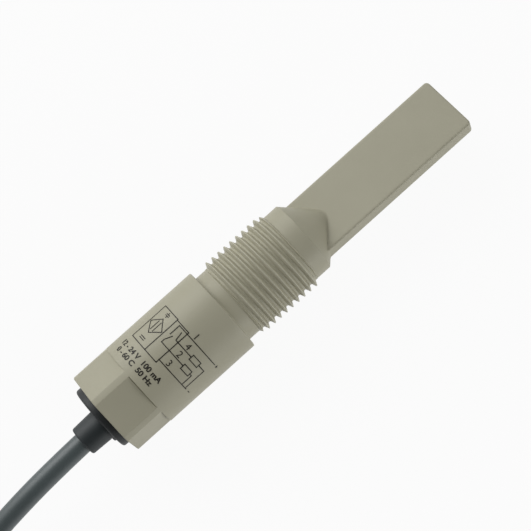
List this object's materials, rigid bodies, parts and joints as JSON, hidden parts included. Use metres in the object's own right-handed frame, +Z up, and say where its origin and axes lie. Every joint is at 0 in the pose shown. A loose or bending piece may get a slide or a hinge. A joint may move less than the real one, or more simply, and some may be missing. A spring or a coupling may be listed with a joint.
{
  "type": "capacitive proximity sensor",
  "caption": "Threaded sensor body with a spanner hexagon, a flat sensing blade in front and a booted cable behind, which detects the level of liquid or bulk material it is screwed into.",
  "frame": {"origin": "middle of the process thread, on its axis", "axes": "+X along the thread's axis towards the tip of the blade, +Z up from the surface that the housing lies on"},
  "size_m": [0.2528, 0.0466, 0.0284],
  "materials": {
    "body_plastic": "moulded beige-grey engineering plastic, fine satin surface",
    "cap_plastic": "moulded black plastic, satin",
    "boot_rubber": "black rubber, soft sheen",
    "seal_rubber": "black nitrile rubber",
    "adjuster_plastic": "black moulded plastic",
    "rotor_plastic": "white plastic",
    "trimmer_plastic": "blue plastic",
    "light_pipe_clear": "clear polycarbonate",
    "lamp_lens": "yellow lamp lens",
    "board_laminate": "green solder-resist laminate",
    "chip_epoxy": "black moulded epoxy",
    "capacitor_ceramic": "tan ceramic with tinned ends",
    "electrode_copper": "copper foil",
    "sleeve_brass": "thin rolled brass",
    "tinned_copper": "tinned copper",
    "potting_resin": "cast casting resin",
    "cable_pvc": "slate-grey PVC jacket, satin",
    "tie_nylon": "natural nylon",
    "core_brown": "PVC insulation",
    "core_white": "PVC insulation",
    "core_blue": "PVC insulation",
    "core_black": "PVC insulation"
  },
  "bodies": {
    "sensor": {"probe_body": "body_plastic", "rear_cap": "cap_plastic", "cap_seal_ring": "seal_rubber", "cable_boot": "boot_rubber", "cable_crimp": "sleeve_brass", "trimmer_case": "trimmer_plastic", "light_pipe": "light_pipe_clear", "status_lamp": "lamp_lens", "shield_sleeve": "sleeve_brass", "circuit_board": "board_laminate", "oscillator_chip": "chip_epoxy", "switching_transistors": "chip_epoxy", "chip_capacitors": "capacitor_ceramic", "chip_resistors": "chip_epoxy", "electrode_strip": "board_laminate", "sensing_electrode": "electrode_copper", "guard_electrode": "electrode_copper", "electrode_leads": "tinned_copper", "potting_plug": "potting_resin", "core_ferrules": "tinned_copper", "cable": "cable_pvc", "cable_hank": "cable_pvc", "cable_tail": "cable_pvc", "hank_ties": "tie_nylon", "inner_core_brown": "core_brown", "tail_core_brown": "core_brown", "inner_core_white": "core_white", "tail_core_white": "core_white", "inner_core_blue": "core_blue", "tail_core_blue": "core_blue", "inner_core_black": "core_black", "tail_core_black": "core_black"},
    "adjuster": {"adjuster_spindle": "adjuster_plastic", "spindle_seal_ring": "seal_rubber", "trimmer_rotor": "rotor_plastic"}
  },
  "joints": [
    {"name": "adjuster_turn", "type": "hinge", "parent": "sensor", "child": "adjuster", "pos_m": [-0.0495, -0.0042, -0.003], "axis": [1, 0, 0], "range_deg": [-135, 135]}
  ]
}
